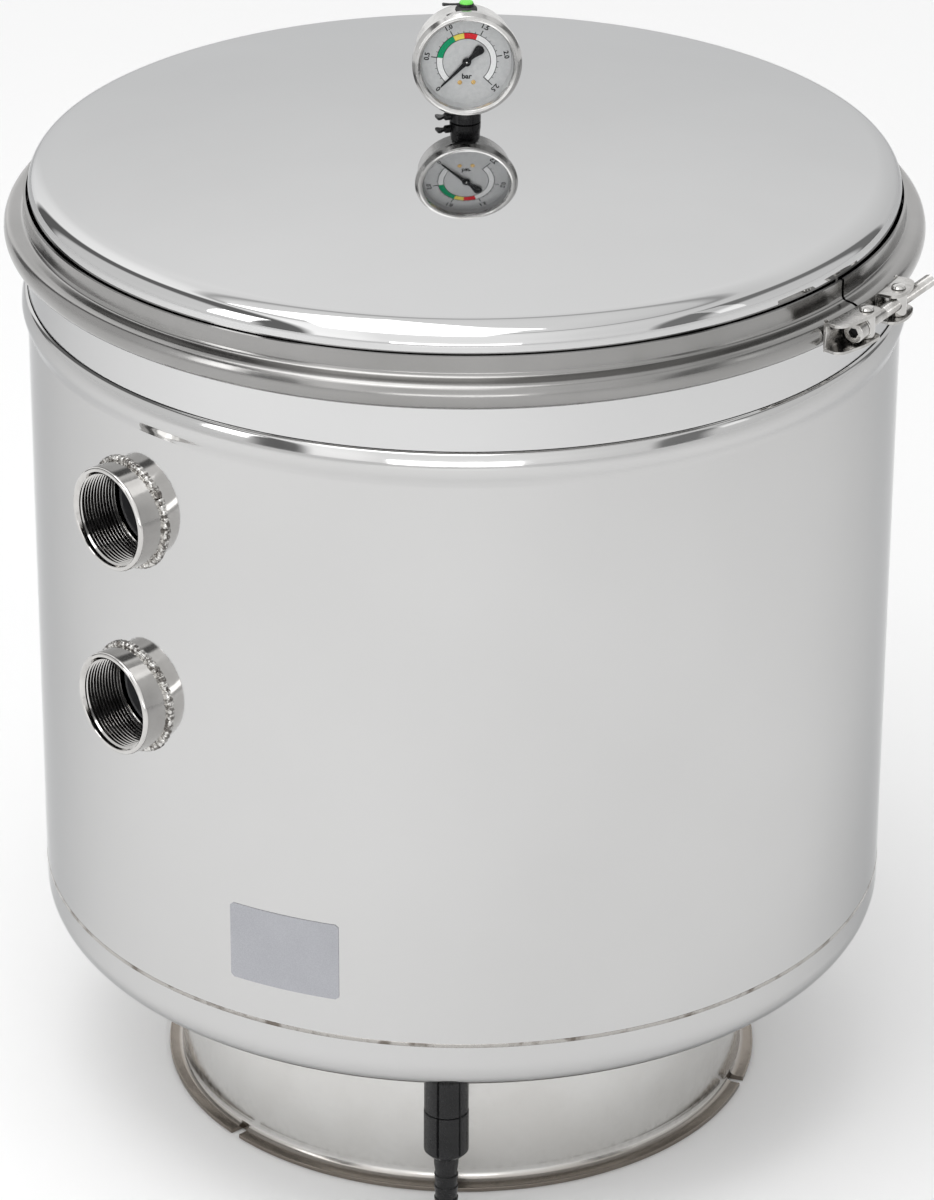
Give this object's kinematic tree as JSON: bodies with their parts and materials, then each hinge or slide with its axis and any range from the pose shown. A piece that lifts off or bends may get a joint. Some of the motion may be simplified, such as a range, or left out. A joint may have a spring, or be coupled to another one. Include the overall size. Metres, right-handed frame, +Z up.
{
  "type": "clamped-lid filter vessel",
  "caption": "Stainless cylindrical filter vessel on a foot ring, with a clamped domed lid, dial gauge, side pipe sockets and a bottom drain tail.",
  "frame": {"origin": "on the vessel's axis at the floor, in the middle of the foot ring", "axes": "+Z up along the vessel's axis, -Y to the front with the drain tail, the pipe sockets towards -X and -Y, the clamp's closure towards +X and -Y"},
  "size_m": [0.5759, 0.5759, 0.7406],
  "materials": {
    "polished_steel": "mirror-polished stainless sheet",
    "satin_steel": "satin stainless",
    "weld_metal": "weld bead, pickled, slightly rough",
    "bright_steel": "turned bright stainless",
    "black_plastic": "moulded, fine grain",
    "black_rubber": "soft black rubber",
    "green_plastic": "glossy lime green",
    "grey_film": "satin grey film sticker, blank",
    "dial_silver": "silver dial with a scale printed on it",
    "window": "clear window",
    "brass": "bare brass",
    "white_plastic": "off-white PVC"
  },
  "bodies": {
    "vessel": {"shell_jacket": "polished_steel", "neck_ring": "polished_steel", "bottom_head": "polished_steel", "girth_weld_bead": "weld_metal", "foot_ring": "satin_steel", "upper_socket": "bright_steel", "upper_socket_weld": "weld_metal", "lower_socket": "bright_steel", "lower_socket_weld": "weld_metal", "plain_sticker": "grey_film", "inlet_pipe": "white_plastic", "outlet_pipe": "white_plastic", "inlet_funnel": "white_plastic", "collector_hub": "white_plastic", "lateral_1": "white_plastic", "lateral_2": "white_plastic", "lateral_3": "white_plastic", "lateral_4": "white_plastic", "lateral_5": "white_plastic", "lateral_6": "white_plastic", "drain_stub": "satin_steel", "drain_strainer": "white_plastic", "drain_adapter": "black_plastic", "drain_seal": "black_rubber", "drain_hose_tail": "black_plastic", "lid_gasket": "black_rubber"},
    "lid": {"lid": "polished_steel", "gauge_boss": "bright_steel", "bleed_fitting": "black_plastic", "gauge_bezel": "bright_steel", "gauge_window": "window", "gauge_case": "satin_steel", "gauge_dial": "dial_silver", "gauge_stem": "brass", "bourdon_tube": "brass", "gauge_movement": "brass", "vent_plug": "black_rubber"},
    "band_left": {"clamp_band_left": "satin_steel", "clamp_lug_left": "satin_steel"},
    "band_right": {"clamp_band_right": "satin_steel", "clamp_lug_right": "satin_steel"},
    "pin_left": {"swivel_pin_left": "satin_steel"},
    "pin_right": {"swivel_pin_right": "satin_steel"},
    "screw": {"clamp_screw": "bright_steel", "screw_washer": "bright_steel"},
    "pointer": {"gauge_pointer": "black_plastic"},
    "lever": {"vent_lever": "black_plastic", "vent_cap": "green_plastic"},
    "bleed": {"bleed_screw": "black_plastic"},
    "nut": {"drain_union_nut": "black_plastic"}
  },
  "joints": [
    {"name": "lid_lift", "type": "slide", "parent": "vessel", "child": "lid", "axis": [0, 0, 1], "range_m": [0, 0.25]},
    {"name": "band_open", "type": "hinge", "parent": "vessel", "child": "band_left", "pos_m": [-0.24443, 0.15512, 0.5985], "axis": [0, 0, -1], "range_deg": [0, 1.6], "deforming": ["clamp_band_left", "clamp_band_right"]},
    {"name": "band_open_right", "type": "hinge", "parent": "vessel", "child": "band_right", "pos_m": [-0.24443, 0.15512, 0.5985], "axis": [0, 0, 1], "range_deg": [0, 1.6]},
    {"name": "pin_left_swivel", "type": "hinge", "parent": "band_left", "child": "pin_left", "pos_m": [0.23963, -0.17576, 0.5985], "axis": [0, 0, 1], "range_deg": [0, 1.6]},
    {"name": "pin_right_slide", "type": "slide", "parent": "pin_left", "child": "pin_right", "axis": [0.5358, 0.8443, 0], "range_m": [0, 0.0328]},
    {"name": "screw_turn", "type": "hinge", "parent": "pin_left", "child": "screw", "pos_m": [0.23963, -0.17576, 0.5985], "axis": [0.5358, 0.8443, 0], "continuous": true},
    {"name": "pointer_turn", "type": "hinge", "parent": "lid", "child": "pointer", "pos_m": [0.00087, -0.01247, 0.703], "axis": [-0.0698, 0.9976, 0], "range_deg": [0, 270]},
    {"name": "lever_turn", "type": "hinge", "parent": "lid", "child": "lever", "pos_m": [0.00038, -0.00549, 0.738], "axis": [0, 0, 1], "range_deg": [-90, 90]},
    {"name": "bleed_turn", "type": "hinge", "parent": "lid", "child": "bleed", "pos_m": [-0.01133, -0.00396, 0.66419], "axis": [-0.9439, -0.3304, 0], "continuous": true},
    {"name": "nut_turn", "type": "hinge", "parent": "vessel", "child": "nut", "pos_m": [-0.0092, -0.228, 0.066], "axis": [0, 0, 1], "continuous": true}
  ],
  "couplings": [
    {"joint": "band_open_right", "follows": "band_open", "ratio": 1},
    {"joint": "pin_left_swivel", "follows": "band_open", "ratio": 1},
    {"joint": "pin_right_slide", "follows": "band_open", "m_per_rad": 1.1713}
  ]
}
